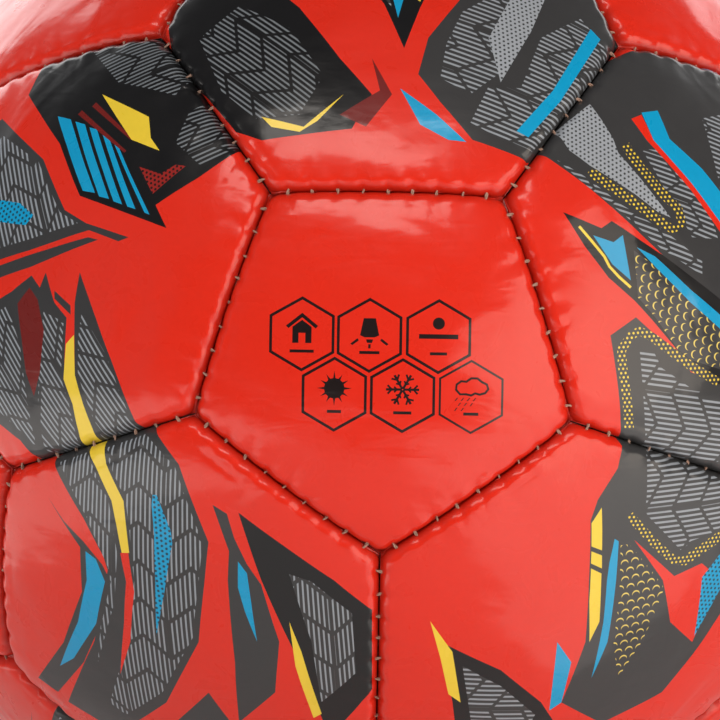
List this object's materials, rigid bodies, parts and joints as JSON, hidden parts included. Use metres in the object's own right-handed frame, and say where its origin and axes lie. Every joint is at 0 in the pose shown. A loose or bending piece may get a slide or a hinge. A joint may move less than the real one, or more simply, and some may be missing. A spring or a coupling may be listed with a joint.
{
  "type": "soccer ball",
  "caption": "Hand-stitched 32-panel soccer ball of size 5, with foam, lining, bladder and a push-in needle valve.",
  "frame": {"origin": "centre of the ball", "axes": "+Z through the valve, front pentagon facing -Y with its point down"},
  "size_m": [0.22, 0.22, 0.2199],
  "materials": {
    "cover": "gloss",
    "foam": "matte",
    "lining": "matte",
    "thread": "satin",
    "bladder": "matte",
    "valve": "satin",
    "valve_core": "satin"
  },
  "bodies": {
    "ball": {"pentagon_panel_01": "cover", "pentagon_panel_02": "cover", "pentagon_panel_03": "cover", "pentagon_panel_04": "cover", "pentagon_panel_05": "cover", "pentagon_panel_06": "cover", "pentagon_panel_07": "cover", "pentagon_panel_08": "cover", "pentagon_panel_09": "cover", "pentagon_panel_10": "cover", "pentagon_panel_11": "cover", "pentagon_panel_12": "cover", "valve_panel": "cover", "hexagon_panel_01": "cover", "hexagon_panel_02": "cover", "hexagon_panel_03": "cover", "hexagon_panel_04": "cover", "hexagon_panel_05": "cover", "hexagon_panel_06": "cover", "hexagon_panel_07": "cover", "hexagon_panel_08": "cover", "hexagon_panel_09": "cover", "hexagon_panel_10": "cover", "hexagon_panel_11": "cover", "hexagon_panel_12": "cover", "hexagon_panel_13": "cover", "hexagon_panel_14": "cover", "hexagon_panel_15": "cover", "hexagon_panel_16": "cover", "hexagon_panel_17": "cover", "hexagon_panel_18": "cover", "hexagon_panel_19": "cover", "foam_pads_pentagon": "foam", "foam_pads_hexagon": "foam", "cloth_linings_pentagon": "lining", "cloth_linings_hexagon": "lining", "seam_thread_pentagon": "thread", "seam_thread_hexagon": "thread", "bladder": "bladder", "valve_patch": "bladder", "valve_housing": "valve"},
    "valve_core": {"valve_core": "valve_core"},
    "valve_lip_left": {"valve_lip_left": "valve_core"},
    "valve_lip_right": {"valve_lip_right": "valve_core"}
  },
  "joints": [
    {"name": "valve_core_slide", "type": "slide", "parent": "ball", "child": "valve_core", "axis": [0, 0, 1], "range_m": [0, 0.024]},
    {"name": "valve_lip_left_hinge", "type": "hinge", "parent": "valve_core", "child": "valve_lip_left", "pos_m": [-0.00175, 0, 0.093], "axis": [0, 1, 0], "range_deg": [0, 14], "stiffness_Nm_per_rad": 0.002},
    {"name": "valve_lip_right_hinge", "type": "hinge", "parent": "valve_core", "child": "valve_lip_right", "pos_m": [0.00175, 0, 0.093], "axis": [0, -1, 0], "range_deg": [0, 14], "stiffness_Nm_per_rad": 0.002}
  ],
  "couplings": [
    {"joint": "valve_lip_right_hinge", "follows": "valve_lip_left_hinge", "ratio": 1}
  ]
}
